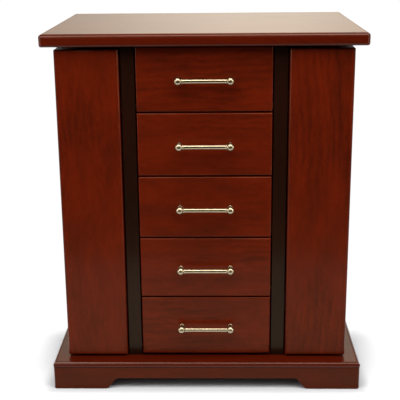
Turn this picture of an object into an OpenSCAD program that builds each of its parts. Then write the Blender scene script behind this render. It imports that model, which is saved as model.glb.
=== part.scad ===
// Tabletop jewelry armoire: five drawers between two swing-out doors, under a lift-up lid with a mirror.
// Millimetres. The origin is the middle of the footprint, on the surface that the armoire stands on.
// The front faces -Y, +Z is up, and left and right are as seen from the front.

/* [Plinth] */
// Width over the plinth, the widest part of the armoire
base_w = 330; // [320:1:350]
// Depth over the plinth
base_d = 247; // [240:1:260]
// Thickness of the moulded board on top of the plinth
deck_t = 6; // [6:0.5:8]
// Height of the plinth's skirt boards
skirt_h = 24.4; // [20:0.4:30]
// Thickness of the skirt boards
skirt_t = 12; // [9:1:14]
// Width of each bracket foot along the skirt
foot_w = 56; // [45:1:65]
// Height of the cut-out between two feet
foot_cut = 12; // [8:0.5:14]

/* [Case] */
// Height of the case walls above the deck
case_h = 334; // [330:1:345]
// How far the deck stands out past the doors, at the sides and the front
deck_over = 15; // [13:0.5:17]
// Thickness of the case walls
wall_t = 12; // [9:1:12]
// Thickness of the back board
back_t = 8; // [6:0.5:9]
// Width of the dark stile beside the drawers
stile_w = 14.3; // [13:0.1:15]
// How far the stiles sit behind the face of the doors
stile_set = 4.5; // [3:0.5:6]

/* [Drawers] */
// Width of a drawer front
drawer_w = 137.4; // [134:0.2:138]
// Thickness of a drawer front
drawer_front_t = 12; // [10:0.5:12]
// Gap between one drawer front and the next
drawer_gap = 1.5; // [1:0.1:2]
// How far a drawer pulls out
drawer_travel = 140; // [100:5:150]
// Distance between the two balls of a pull
pull_span = 52; // [44:1:64]
// Distance from the drawer's face to the middle of the pull's rod
pull_reach = 11; // [10.6:0.2:15]

/* [Doors] */
// Width of the front panel of a door
door_w = 64.6; // [60:0.2:66]
// Thickness of the front panel of a door
door_front_t = 12; // [10:0.5:14]
// Thickness of the side panel of a door
door_side_t = 8.5; // [7:0.5:10]

/* [Lid] */
// Thickness of the lid
lid_t = 13; // [12:0.5:16]
// How far the lid stands out past the doors at the sides
lid_over = 13; // [10:0.5:14]
// Gap between the top of the case and the lid, which the felt dots fill
lid_gap = 2; // [2:0.1:2.4]
// Size of the mirror under the lid, across
mirror_w = 268; // [200:2:276]

/* [Hidden] */
$fn = 48;
drawer_count = 5;
hair = 0.05;            // glue line left between the pieces of one node
face_gap = 1.2;         // gap between a stile and the drawer or door next to it
slack = 0.2;            // sliding clearance under a drawer

// Levels
pad_t = 0.6;
deck_z = pad_t + skirt_h + deck_t;
case_top = deck_z + case_h;
lid_z = case_top + lid_gap;
door_z = [deck_z + 2, case_top - 1];
drawer_z = [deck_z + 3, lid_z - 1.2];

// Planes from the front to the back, and half widths
body_x = base_w / 2 - deck_over;
door_y = -base_d / 2 + deck_over + 0.5;
drawer_y = door_y + 2;
stile_y = door_y + stile_set;
stile_t = 10;
wall_y = stile_y + stile_t;
rear_y = base_d / 2 - 5.5;
back_y = rear_y - back_t;
stile_x = drawer_w / 2 + face_gap;
door_x = body_x - door_w;
wall_out = stile_x + wall_t;

// Drawers, numbered from 1 at the top
row_h = (drawer_z[1] - drawer_z[0] + drawer_gap) / drawer_count;
drawer_in = drawer_y + drawer_front_t;
box_side_t = 7;
box_x = drawer_w / 2;
box_end = back_y - 12;
box_lift = 6;
box_h = 56;
top_box_h = 25;
box_floor = [2, 5];
felt_t = 1;
runner = [9.2, 4];
divider_t = 2.5;
cells = [[3, 2], [2, 2], [2, 1], [1, 1], [1, 1]];

// The open compartment under the lid
well_z = case_top - 32;
well_floor_t = 4;
top_rail_t = 8;
ring_rolls = 6;
ring_zone = 96;
ring_roll = [15.2, 20];

// Plinth
skirt_in = 0.4;
skirt_round = 2.5;      // eased corners of the skirt, half on each side of the mitre
skirt_x = base_w / 2 - skirt_in;
skirt_y = base_d / 2 - skirt_in;
block = 30;
pad_r = 11;
ogee_run = 13;
ogee_sway = 0.08;

// Pulls
rod_r = 2.3;
ball_r = 4.1;
post_r = 1.8;
flange = [2.3, 0.8];
collar = [2.9, 1.2];
screw_r = 1.2;
screw_fit = 0.1;
screw_head = [2.6, 2];

// Hinges
hinge_l = 34;
barrel_r = 2;
pin_r = 0.95;
bore_r = 1;
knuckle_gap = 0.15;
door_pin = [body_x + 2, back_y - 0.9];
door_hinge_z = [door_z[0] + 52, door_z[1] - 52];
door_leaf_t = 0.8;
lid_barrel_drop = 2.6;
lid_pin = [rear_y + 2.6, lid_z - lid_barrel_drop];
lid_hinge_x = 105;
lid_leaf_t = 1;

// Doors
side_x = body_x - door_side_t;
door_in_y = door_y + door_front_t;
side_end = back_y - 1.8;
rail_t = 9;
rail_x = door_x + 1.6;
rail_end = side_end - 1;
hook_rail = [8.5, 16];
hook_rail_z = door_z[1] - 42;
hook_count = 5;
hook_pitch = 34;
hook_wire = 1.1;
hook_bend = 2.6;
hook_shank = 6;
hook_tip = 3;
pouch = [11.4, 180, 70];
cloth_t = 1.2;
catch_z = [door_z[0] + 57, door_z[1] - 57];
catch_box = [10, 14, 20];
strike_r = 5;
strike_t = 2.2;
strike_in = 8;           // middle of a strike plate, in from the lining of the case wall

// Lid
lid_x = body_x + lid_over;
lid_y = [door_y - 9, rear_y + 5];
lid_mid = (lid_y[0] + lid_y[1]) / 2;
mirror_d = 186;
mirror_t = 2.6;
pocket = 3;
bead = [7, 1.1];

drawers = [for (n = [1:drawer_count]) str("drawer_", n)];
sides = ["left", "right"];

mahogany = [0.38, 0.10, 0.05];
espresso = [0.11, 0.06, 0.04];
bare_wood = [0.72, 0.52, 0.33];
felt = [0.80, 0.72, 0.58];
nickel = [0.82, 0.78, 0.69];

// ---------- outlines ----------

function arc(c, r, from, to, steps = 6) =
  [for (i = [0:steps]) let (a = from + (to - from) * i / steps) [c[0] + r * cos(a), c[1] + r * sin(a)]];

// One corner of a rectangle: square when r is 0. The angle is where its arc starts.
function corner(p, inward, r, from) =
  r > 0 ? arc([p[0] + inward[0] * r, p[1] + inward[1] * r], r, from, from + 90) : [p];

// A rectangle from a to b. The radii go round it from the low corner: low-low, high-low, high-high, low-high.
function rounded(a, b, r) = concat(
  corner(a, [1, 1], r[0], 180),
  corner([b[0], a[1]], [-1, 1], r[1], 270),
  corner(b, [-1, -1], r[2], 0),
  corner([a[0], b[1]], [1, -1], r[3], 90));

// The edge of the cut-out beside a foot: a shallow S-curve from the floor up to the skirt's lower edge.
function ogee(x, way) =
  [for (i = [0:10]) let (t = i / 10)
    [x + way * ogee_run * t, foot_cut * (t - ogee_sway * sin(360 * t))]];

function reversed(list) = [for (i = [len(list) - 1:-1:0]) list[i]];

// The face of a skirt board of half length l, with a bracket foot at each end.
function skirt_face(l) = concat(
  [[-l, 0]], ogee(-l + foot_w, 1), reversed(ogee(l - foot_w, -1)), [[l, 0], [l, skirt_h], [-l, skirt_h]]);

// ---------- shared solids ----------

// A plain box between two opposite corners.
module slab(a, b) {
  translate(a) cube([b[0] - a[0], b[1] - a[1], b[2] - a[2]]);
}

// A board between two corners with rounded edges: its outline from above, from the side and from the front
// each take four radii.
module board(a, b, plan = [0, 0, 0, 0], side = [0, 0, 0, 0], front = [0, 0, 0, 0]) {
  intersection() {
    translate([0, 0, a[2]])
      linear_extrude(b[2] - a[2]) polygon(rounded([a[0], a[1]], [b[0], b[1]], plan));
    translate([a[0], 0, 0]) rotate([90, 0, 90])
      linear_extrude(b[0] - a[0]) polygon(rounded([a[1], a[2]], [b[1], b[2]], side));
    translate([0, b[1], 0]) rotate([90, 0, 0])
      linear_extrude(b[1] - a[1]) polygon(rounded([a[0], a[2]], [b[0], b[2]], front));
  }
}

// A front that faces -Y, with every edge of its face eased by r and its back left square.
module facing(a, b, r) {
  board(a, b, [r, r, 0, 0], [r, 0, 0, r], [r, r, r, r] * 0.6);
}

// Everything about a door is drawn on the right-hand side, and mirrored for the left.
module on_side(s) {
  if (s == "left") mirror([1, 0, 0]) children();
  else children();
}

// A cylinder along -Y, starting at y.
module peg(p, r, l) {
  translate(p) rotate([90, 0, 0]) cylinder(h = l, r = r);
}

// ---------- plinth ----------

module base_board() {
  color(mahogany) {
    top = 4;
    low = 1.5;
    board([-base_w / 2, -base_d / 2, deck_z - deck_t], [base_w / 2, base_d / 2, deck_z],
      [2.5, 2.5, 2.5, 2.5], [low, low, top, top], [low, low, top, top]);
  }
}

// A skirt board of half length l with its outer face at -Y, cut to its outline from above.
module skirt(l, outline) {
  intersection() {
    translate([0, base_d, pad_t]) rotate([90, 0, 0]) linear_extrude(2 * base_d) polygon(skirt_face(l));
    linear_extrude(deck_z) polygon(outline);
  }
}

module plinth_front() {
  l = skirt_x;
  r = skirt_round;
  y = -skirt_y;
  color(mahogany)
    skirt(l, concat(
      arc([r - l, y + r], r, 225, 270), arc([l - r, y + r], r, 270, 315),
      [[l - skirt_t, y + skirt_t], [skirt_t - l, y + skirt_t]]));
}

// The side skirts are mitred to the front one, and run through to the back.
module plinth_side(s) {
  l = skirt_y;
  r = skirt_round;
  y = -skirt_x;
  color(mahogany)
    on_side(s) rotate([0, 0, 90])
      skirt(l, concat(
        arc([r - l, y + r], r, 225, 270), arc([l - r, y + r], r, 270, 360),
        [[l, y + skirt_t], [skirt_t - l, y + skirt_t]]));
}

module plinth_back() {
  color(mahogany)
    slab([skirt_t - skirt_x, skirt_y - skirt_t, pad_t + foot_cut],
      [skirt_x - skirt_t, skirt_y, pad_t + skirt_h]);
}

module corner_blocks() {
  x = skirt_x - skirt_t - block / 2;
  y = skirt_y - skirt_t - block / 2;
  color(bare_wood)
    for (i = [-1, 1]) for (j = [-1, 1])
      translate([i * x - block / 2, j * y - block / 2, pad_t]) cube([block, block, skirt_h]);
}

// Four pads under the feet, and two dots on the stiles that the lid closes on.
module felt_pads() {
  x = skirt_x - skirt_t - block / 2;
  y = skirt_y - skirt_t - block / 2;
  color(felt) {
    for (i = [-1, 1]) for (j = [-1, 1])
      translate([i * x, j * y, 0]) cylinder(h = pad_t, r = pad_r);
    for (i = [-1, 1])
      translate([i * (stile_x + stile_w / 2), stile_y + stile_t / 2, case_top]) cylinder(h = lid_gap, r = 3);
  }
}

// ---------- case ----------

module case_wall(s) {
  color(mahogany)
    on_side(s) slab([stile_x, wall_y, deck_z], [wall_out, back_y, case_top]);
}

module stile(s) {
  color(espresso)
    on_side(s)
      facing([stile_x, stile_y, deck_z], [stile_x + stile_w, wall_y, case_top], 0.8);
}

module back_board() {
  color(mahogany) slab([-body_x, back_y, deck_z], [body_x, rear_y, case_top]);
}

module top_rail() {
  color(mahogany)
    slab([hair - stile_x, wall_y + slack, well_z], [stile_x - hair, wall_y + slack + top_rail_t, case_top]);
}

module well_floor() {
  color(mahogany)
    slab([hair - stile_x, wall_y + slack + top_rail_t, well_z], [stile_x - hair, back_y, well_z + well_floor_t]);
}

// Two strips for each drawer, which its sides rest and slide on.
module drawer_runners() {
  color(bare_wood)
    for (n = [1:drawer_count]) for (s = sides)
      on_side(s)
        slab([stile_x - runner[0], wall_y + slack, row_z(n) + box_lift - slack - runner[1]],
          [stile_x, back_y - 1, row_z(n) + box_lift - slack]);
}

// Fabric on the outer faces of the case walls, which the open doors show.
module wall_linings() {
  color(felt)
    for (s = sides) on_side(s)
      slab([wall_out, wall_y + 0.5, deck_z + 0.5], [wall_out + felt_t, back_y - 0.5, case_top - 0.5]);
}

module catch_magnets() {
  x = wall_out + felt_t;
  y = wall_y + 0.1;
  color(espresso)
    for (s = sides) on_side(s) for (z = catch_z)
      board([x, y, z - catch_box[2] / 2], [x + catch_box[0], y + catch_box[1], z + catch_box[2] / 2],
        [1, 1, 1, 1]);
}

// A fabric tray between two corners: a floor and four walls, then dividers that make a grid of cells.
module fabric_tray(a, b, grid, divider_top) {
  t = felt_t;
  nx = grid[0];
  ny = grid[1];
  in = [[a[0] + t, a[1] + t], [b[0] - t, b[1] - t]];
  span = [in[1][0] - in[0][0], in[1][1] - in[0][1]];
  slab(a, [b[0], b[1], a[2] + t]);
  for (x = [a[0], b[0] - t]) slab([x, a[1], a[2] + t + hair], [x + t, b[1], b[2]]);
  for (y = [a[1], b[1] - t])
    slab([in[0][0] + hair, y, a[2] + t + hair], [in[1][0] - hair, y + t, b[2]]);
  if (nx > 1) for (i = [1:nx - 1]) {
    x = in[0][0] + span[0] * i / nx;
    slab([x - divider_t / 2, in[0][1] + hair, a[2] + t + hair],
      [x + divider_t / 2, in[1][1] - hair, divider_top]);
  }
  if (ny > 1) for (j = [1:ny - 1]) for (i = [1:nx]) {
    y = in[0][1] + span[1] * j / ny;
    low = in[0][0] + span[0] * (i - 1) / nx + (i > 1 ? divider_t / 2 : 0) + hair;
    high = in[0][0] + span[0] * i / nx - (i < nx ? divider_t / 2 : 0) - hair;
    slab([low, y - divider_t / 2, a[2] + t + hair], [high, y + divider_t / 2, divider_top]);
  }
}

// The front of the well is a tray of three cells, and the back is the bed for the ring rolls.
module well_lining() {
  x = stile_x - 2 * hair;
  z = well_z + well_floor_t;
  front = wall_y + slack + top_rail_t;
  middle = back_y - ring_zone;
  color(felt) {
    fabric_tray([-x, front, z], [x, middle, case_top - 3], [3, 1], case_top - 8);
    fabric_tray([-x, middle + hair, z], [x, back_y, case_top - 3], [1, 1], case_top - 8);
  }
}

// Padded rolls side by side, which rings are pushed between.
module ring_cushions() {
  x = stile_x - 2 * hair - felt_t - 0.3;
  z = well_z + well_floor_t + felt_t + 0.2;
  low = back_y - ring_zone + felt_t + 0.4;
  pitch = (ring_zone - 2 * felt_t - 0.8) / ring_rolls;
  r = ring_roll[0] / 2 - 0.1;
  color(felt)
    for (i = [0:ring_rolls - 1])
      board([-x, low + pitch * (i + 0.5) - ring_roll[0] / 2, z],
        [x, low + pitch * (i + 0.5) + ring_roll[0] / 2, z + ring_roll[1]], side = [1, 1, r, r]);
}

// ---------- hinges ----------
// A hinge is drawn with its pin along Z. A leaf reaches away from the pin along +X, and lies between two
// planes in Y. The fixed leaf has the two outer knuckles, and the moving leaf has the middle one.

function knuckles(kind) =
  kind == "fixed"
    ? [[-hinge_l / 2, -hinge_l / 6 - knuckle_gap], [hinge_l / 6 + knuckle_gap, hinge_l / 2]]
    : [[-hinge_l / 6, hinge_l / 6]];

module hinge_leaf(kind, plane, t, clear, reach, exposed) {
  u = (clear + reach) / 2;
  screw_at = [for (w = [-0.28, 0.28]) [u, exposed > 0 ? plane + t : plane, w * hinge_l]];
  difference() {
    union() {
      slab([clear, plane, -hinge_l / 2], [reach, plane + t, hinge_l / 2]);
      for (k = knuckles(kind)) {
        slab([0, plane, k[0]], [clear, plane + t, k[1]]);
        translate([0, 0, k[0]]) cylinder(h = k[1] - k[0], r = barrel_r);
      }
    }
    translate([0, 0, -hinge_l]) cylinder(h = 2 * hinge_l, r = bore_r);
    for (p = screw_at) wood_screw(p, exposed, t, 0.05);
  }
  for (p = screw_at) wood_screw(p, exposed, t, 0);
}

// A countersunk wood screw whose head is flush with the exposed face. Grown by fit, it is its own hole.
module wood_screw(p, exposed, t, fit) {
  head = 2 + fit;
  shank = 1 + fit;
  rim = fit > 0 ? [[0, -1], [head, -1]] : [[0, 0]];
  translate(p) rotate([exposed > 0 ? 90 : -90, 0, 0])
    rotate_extrude() polygon(concat(rim, [[head, 0], [shank, t], [shank, t + 6], [0, t + 6]]));
}

module door_leaf(kind) {
  fixed = kind == "fixed";
  plane = fixed ? 0.1 : -0.9;
  rotate([0, 180, 0]) hinge_leaf(kind, plane, door_leaf_t, 2.4, 8, fixed ? -1 : 1);
}

module at_door_hinges() {
  for (z = door_hinge_z) translate([door_pin[0], door_pin[1], z]) children();
}

module at_lid_hinges() {
  for (x = [-lid_hinge_x, lid_hinge_x]) translate([x, lid_pin[0], lid_pin[1]]) children();
}

module fixed_hinge_leaves() {
  color(nickel) {
    for (s = sides) on_side(s) at_door_hinges() door_leaf("fixed");
    at_lid_hinges() rotate([0, 90, 0])
      hinge_leaf("fixed", -lid_barrel_drop, lid_leaf_t, 1.8, 14, 1);
  }
}

module hinge_pins() {
  l = hinge_l + 0.8;
  color(nickel) {
    for (s = sides) on_side(s) at_door_hinges() translate([0, 0, -l / 2]) cylinder(h = l, r = pin_r);
    at_lid_hinges() rotate([0, 90, 0]) translate([0, 0, -l / 2]) cylinder(h = l, r = pin_r);
  }
}

// ---------- lid ----------

module lid_board() {
  color(mahogany)
    difference() {
      board([-lid_x, lid_y[0], lid_z], [lid_x, lid_y[1], lid_z + lid_t],
        [5, 5, 5, 5], [3.5, 3.5, 4.5, 4.5], [3.5, 3.5, 4.5, 4.5]);
      slab([-mirror_w / 2 - 1, lid_mid - mirror_d / 2 - 1, lid_z - 1],
        [mirror_w / 2 + 1, lid_mid + mirror_d / 2 + 1, lid_z + pocket]);
    }
}

module mirror_glass() {
  color([0.85, 0.88, 0.9])
    slab([-mirror_w / 2, lid_mid - mirror_d / 2, lid_z + pocket - mirror_t],
      [mirror_w / 2, lid_mid + mirror_d / 2, lid_z + pocket]);
}

// Four strips that hold the mirror in its pocket.
module mirror_frame() {
  x = mirror_w / 2 - bead[0] / 2;
  y = mirror_d / 2 - bead[0] / 2;
  color(mahogany)
    translate([0, lid_mid, lid_z - bead[1]]) {
      for (j = [-1, 1])
        translate([0, j * (y + bead[0] / 2), 0])
          slab([-x - bead[0], -bead[0] / 2, 0], [x + bead[0], bead[0] / 2, bead[1]]);
      for (i = [-1, 1])
        translate([i * (x + bead[0] / 2), 0, 0])
          slab([-bead[0] / 2, hair - y, 0], [bead[0] / 2, y - hair, bead[1]]);
    }
}

module lid_hinge_leaves() {
  color(nickel)
    at_lid_hinges() multmatrix([[0, 0, -1, 0], [-1, 0, 0, 0], [0, 1, 0, 0], [0, 0, 0, 1]])
      hinge_leaf("moving", lid_barrel_drop - lid_leaf_t, lid_leaf_t, 1.8, 14, -1);
}

// ---------- doors ----------
// Each door is a front panel and a side panel with a rail at the top and bottom: a tray on its edge,
// which opens towards the case wall and turns about its rear corner.

module door_front(s) {
  color(mahogany)
    on_side(s) facing([door_x, door_y, door_z[0]], [body_x, door_in_y, door_z[1]], 2.5);
}

module door_side(s) {
  r = 1.5;
  color(mahogany)
    on_side(s)
      board([side_x, door_in_y, door_z[0]], [body_x, side_end, door_z[1]], front = [0, r, r, 0]);
}

// The rails at the top and bottom, and the strip that carries the hooks.
module door_rails(s) {
  color(mahogany)
    on_side(s) {
      for (z = [door_z[0], door_z[1] - rail_t])
        slab([rail_x, door_in_y, z], [side_x, rail_end, z + rail_t]);
      board([side_x - felt_t - hook_rail[0], -84, hook_rail_z], [side_x - felt_t, 92, hook_rail_z + hook_rail[1]],
        front = [2, 0, 0, 2]);
    }
}

// Fabric on the inside of the side panel and of the front panel.
module door_lining(s) {
  low = door_z[0] + rail_t + hair;
  high = door_z[1] - rail_t - hair;
  color(felt)
    on_side(s) {
      slab([side_x - felt_t, door_in_y + felt_t + hair, low], [side_x, rail_end, high]);
      slab([rail_x + 12, door_in_y, low], [side_x, door_in_y + felt_t, high]);
    }
}

// Necklace hooks: a rosette, a shank, a quarter bend upwards and a ball at the tip.
module hook() {
  rotate([0, -90, 0]) {
    cylinder(h = 1, r = 3.2);
    cylinder(h = hook_shank, r = hook_wire);
  }
  translate([-hook_shank, 0, hook_bend]) rotate([-90, 0, 0]) rotate([0, 0, 90])
    rotate_extrude(angle = 90) translate([hook_bend, 0]) circle(r = hook_wire);
  translate([-hook_shank - hook_bend, 0, hook_bend]) {
    cylinder(h = hook_tip, r = hook_wire);
    translate([0, 0, hook_tip]) sphere(r = 1.9);
  }
}

module door_hooks(s) {
  x = side_x - felt_t - hook_rail[0];
  first = 4 - hook_pitch * (hook_count - 1) / 2;
  color(nickel)
    on_side(s) for (i = [0:hook_count - 1])
      translate([x, first + i * hook_pitch, hook_rail_z + hook_rail[1] / 2 - hook_bend / 2]) hook();
}

// A cloth pocket for the ends of the necklaces: a front, two ends and a floor, open at the top.
module door_pouch(s) {
  x = [side_x - felt_t - pouch[0], side_x - felt_t - 0.1];
  y = [5 - pouch[1] / 2, 5 + pouch[1] / 2];
  z = door_z[0] + rail_t + 0.3;
  color(felt)
    on_side(s) {
      slab([x[0], y[0], z], [x[1], y[1], z + cloth_t]);
      slab([x[0], y[0], z + cloth_t + hair], [x[0] + cloth_t, y[1], z + pouch[2]]);
      for (e = [y[0], y[1] - cloth_t])
        slab([x[0] + cloth_t + hair, e, z + cloth_t + hair], [x[1], e + cloth_t, z + pouch[2]]);
    }
}

// The moving hinge leaves with their screws, and the strike plates that the magnets hold.
module door_hardware(s) {
  color(nickel)
    on_side(s) {
      at_door_hinges() door_leaf("moving");
      for (z = catch_z)
        peg([wall_out + felt_t + strike_in, door_in_y + strike_t, z], strike_r, strike_t);
    }
}

// ---------- drawers ----------

function row_z(n) = drawer_z[0] + row_h * (drawer_count - n);
function box_height(n) = n == 1 ? top_box_h : box_h;

module drawer_front(n) {
  z = row_z(n);
  h = row_h - drawer_gap;
  color(mahogany)
    difference() {
      facing([-drawer_w / 2, drawer_y, z], [drawer_w / 2, drawer_in, z + h], 1.5);
      for (i = [-1, 1]) {
        peg([i * pull_span / 2, drawer_in + 1, z + h / 2], screw_r + screw_fit, drawer_front_t + 2);
        peg([i * pull_span / 2, drawer_in + 1, z + h / 2], screw_head[0] + screw_fit, screw_head[1] + 1);
      }
    }
}

// Two sides, a back between them and a thin floor.
module drawer_box(n) {
  z = row_z(n) + box_lift;
  h = box_height(n);
  in = box_x - box_side_t;
  color(bare_wood) {
    for (s = sides) on_side(s) slab([in, drawer_in, z], [box_x, box_end, z + h]);
    slab([hair - in, box_end - box_side_t, z], [in - hair, box_end, z + h]);
    slab([hair - in, drawer_in, z + box_floor[0]], [in - hair, box_end - box_side_t - hair, z + box_floor[1]]);
  }
}

module drawer_lining(n) {
  z = row_z(n) + box_lift + box_floor[1];
  top = row_z(n) + box_lift + box_height(n) - 2;
  x = box_x - box_side_t - hair;
  color(felt)
    fabric_tray([-x, drawer_in + hair, z], [x, box_end - box_side_t - hair, top], cells[n - 1], top - 4);
}

// A pull: a rod with two collars, between two balls on posts, and the two machine screws that hold it from inside the drawer.
module drawer_pull(n) {
  z = row_z(n) + (row_h - drawer_gap) / 2;
  rod_l = pull_span - 2 * ball_r + 3;
  collar_x = pull_span / 2 - ball_r + 0.7 - collar[1] / 2;
  color(nickel) {
    translate([0, drawer_y - pull_reach, z]) rotate([0, 90, 0]) {
      translate([0, 0, -rod_l / 2]) cylinder(h = rod_l, r = rod_r);
      for (i = [-1, 1])
        translate([0, 0, i * collar_x - collar[1] / 2]) cylinder(h = collar[1], r = collar[0]);
    }
    for (i = [-1, 1]) translate([i * pull_span / 2, 0, z]) {
      difference() {
        union() {
          translate([0, drawer_y - pull_reach, 0]) sphere(r = ball_r);
          peg([0, drawer_y, 0], post_r, pull_reach);
          peg([0, drawer_y, 0], flange[0], flange[1]);
        }
        translate([0, drawer_y - pull_reach, 0]) rotate([0, -90 * i, 0])
          translate([0, 0, pull_span / 2 - rod_l / 2 - 0.1]) cylinder(h = ball_r, r = rod_r + hair);
        peg([0, drawer_y + 1, 0], screw_r + hair, 6);
      }
      peg([0, drawer_in, 0], screw_head[0], screw_head[1]);
      peg([0, drawer_in - screw_head[1], 0], screw_r, drawer_front_t - screw_head[1] + 4);
    }
  }
}

// ---------- the assembly ----------

base_board();
plinth_front();
plinth_side("left");  // plinth_left
plinth_side("right");  // plinth_right
plinth_back();
corner_blocks();
felt_pads();
case_wall("left");  // left_wall
case_wall("right");  // right_wall
stile("left");  // left_stile
stile("right");  // right_stile
back_board();
top_rail();
drawer_runners();
well_floor();
well_lining();
ring_cushions();
wall_linings();
catch_magnets();
fixed_hinge_leaves();
hinge_pins();
lid_board();
mirror_glass();
mirror_frame();
lid_hinge_leaves();
for (s = sides) {
  door_front(s);
  door_side(s);
  door_rails(s);
  door_lining(s);
  door_hooks(s);
  door_pouch(s);
  door_hardware(s);
}
for (n = [1:drawer_count]) {
  drawer_front(n);
  drawer_box(n);
  drawer_lining(n);
  drawer_pull(n);
}
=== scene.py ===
# %% [markdown]
# # A tabletop jewelry armoire
# A small chest in red-stained wood: five drawers between two side doors, under a lift-up lid.
# The shapes and the hinges come from a finished CAD model, which this lesson loads and never changes.
# What is left to do is what the eye reads: wood, lacquer, metal, velvet, and everything that is soft.

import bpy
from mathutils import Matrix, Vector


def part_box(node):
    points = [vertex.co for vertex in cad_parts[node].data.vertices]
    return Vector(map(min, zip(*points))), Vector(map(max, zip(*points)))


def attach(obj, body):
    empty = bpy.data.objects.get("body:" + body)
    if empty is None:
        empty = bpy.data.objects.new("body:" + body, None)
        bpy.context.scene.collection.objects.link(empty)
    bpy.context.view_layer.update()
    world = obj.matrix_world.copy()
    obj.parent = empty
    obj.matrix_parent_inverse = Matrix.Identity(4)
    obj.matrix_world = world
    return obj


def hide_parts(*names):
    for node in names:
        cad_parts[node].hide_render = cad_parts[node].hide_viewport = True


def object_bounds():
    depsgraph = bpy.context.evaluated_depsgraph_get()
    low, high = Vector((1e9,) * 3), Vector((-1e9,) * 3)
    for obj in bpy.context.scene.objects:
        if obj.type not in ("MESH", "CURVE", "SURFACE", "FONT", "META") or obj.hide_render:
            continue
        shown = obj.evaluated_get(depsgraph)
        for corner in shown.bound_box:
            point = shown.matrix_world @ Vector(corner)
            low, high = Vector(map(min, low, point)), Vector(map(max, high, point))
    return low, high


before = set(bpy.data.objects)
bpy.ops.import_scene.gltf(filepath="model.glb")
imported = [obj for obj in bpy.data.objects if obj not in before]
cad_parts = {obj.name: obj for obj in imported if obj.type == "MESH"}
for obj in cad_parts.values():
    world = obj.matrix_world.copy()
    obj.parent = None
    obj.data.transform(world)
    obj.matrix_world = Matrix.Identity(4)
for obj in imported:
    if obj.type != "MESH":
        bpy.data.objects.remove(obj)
cad_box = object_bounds()
print("CAD model:", len(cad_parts), "nodes, size", [round(v, 3) for v in cad_box[1] - cad_box[0]])

# %% [markdown]
# ## Tools and units
# Everything is in metres, so MM turns a length in millimetres into metres and keeps the numbers readable.
# Whatever is random, such as where a board lay in its log, is drawn from a seed of its own. So each run
# gives the same armoire.

# %% Tools and units
import math
import random

import bmesh
import bpy
import numpy as np
from mathutils import Matrix, Vector, noise

MM = 0.001
scene = bpy.context.scene

# %% [markdown]
# ## The camera
# A catalogue picture of a small chest is taken with a long lens from a metre away, a little above the lid,
# so that upright edges stay nearly parallel. The camera turns by three angles: it looks down by sixteen
# degrees, and it is swung by about one degree and tilted by half of one, as happens on any tripod.

# %% The camera
LOOK_DOWN = math.radians(16.265)
SWING = math.radians(1.322)
TILT = math.radians(-0.532)
CAMERA_PLACE = (0.0159, -1.0245, 0.4760)
LENS = 83.05           # focal length in millimetres, on a sensor 36 mm wide

camera = bpy.data.objects.new("camera", bpy.data.cameras.new("camera"))
scene.collection.objects.link(camera)
scene.camera = camera
camera.data.sensor_width = 36
camera.data.lens = LENS
camera.data.clip_start = 0.05
turn = (
    Matrix.Rotation(SWING, 4, "Z")
    @ Matrix.Rotation(math.pi / 2 - LOOK_DOWN, 4, "X")
    @ Matrix.Rotation(TILT, 4, "Z")
)
camera.matrix_world = Matrix.Translation(CAMERA_PLACE) @ turn
print("camera", [round(v, 3) for v in camera.matrix_world.translation])

# %% [markdown]
# ## The studio
# The chest stands on a white table in a white studio. Two things make lacquered wood look like itself:
# broad soft lights, and something dark for it to mirror. So the room is bright above and behind the chest,
# which is what the lid mirrors, and dark behind the camera, which is what the fronts mirror.
# The picture is shown without a film curve, so that the stain keeps its strong colour.

# %% The studio room
BACKGROUND = 1.05      # what the camera sees behind the chest
WALL_GLOW = 1.80       # the back wall, which the lid and the base mirror
CEILING_GLOW = 0.35
DIM_GLOW = 0.03        # the dark part of the room
scene.view_settings.view_transform = "Standard"
scene.view_settings.look = "None"

room = bpy.data.worlds.new("studio")
scene.world = room
room.use_nodes = True
sky = room.node_tree
sky.nodes.clear()


def add_node(tree, kind, **settings):
    """Adds a node. A setting that names a socket, or _ and its number, fills it with a value or a link."""
    made = tree.nodes.new(kind)
    links = {}
    for name, value in settings.items():
        if hasattr(made, name):
            setattr(made, name, value)
        else:
            links[name] = value
    for name, value in links.items():
        key = int(name[1:]) if name[1:].isdigit() else name.replace("_", " ")
        plug(tree, value, made.inputs[key])
    return made


def plug(tree, value, socket):
    """Fills a socket: a socket or a node is linked to it, and anything else is its value."""
    if isinstance(value, bpy.types.NodeSocket):
        tree.links.new(value, socket)
    elif isinstance(value, bpy.types.Node):
        tree.links.new(value.outputs[0], socket)
    else:
        socket.default_value = value


def maths(tree, operation, *values):
    """One Math node."""
    made = add_node(tree, "ShaderNodeMath", operation=operation)
    for value, socket in zip(values, made.inputs):
        plug(tree, value, socket)
    return made.outputs[0]


def ramp(tree, value, low, high, out_low=0.0, out_high=1.0):
    """Maps low..high smoothly to out_low..out_high, and holds the ends."""
    made = add_node(tree, "ShaderNodeMapRange", interpolation_type="SMOOTHSTEP", Value=value)
    for name, number in (("From Min", low), ("From Max", high), ("To Min", out_low), ("To Max", out_high)):
        made.inputs[name].default_value = number
    return made.outputs["Result"]


print("the back wall glows", WALL_GLOW, "and the ceiling", CEILING_GLOW)

# %% [markdown]
# A world's shader can make light by direction, because its Generated coordinate is the way a ray goes.
# So the bright back wall is a band of directions. It fades in and out smoothly along each axis, and it is
# brightest a little to the right of the middle, which is where the lid and the base gleam.

# %% The back wall and the ceiling
# Each fade is where it starts and where it ends, and then, if they aren't 0 and 1, its light at both
FRONT_TO_BACK = (-0.80, 0.20)
WALL_TOP = (0.80, 0.30)
WALL_FOOT = (0.01, 0.07)
GLEAM_LEFT = (-0.24, 0.03, 0.42, 0.90)
GLEAM_RIGHT = (0.06, 0.20, 1.0, 0.74)
CEILING = (0.0, 0.9)

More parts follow.
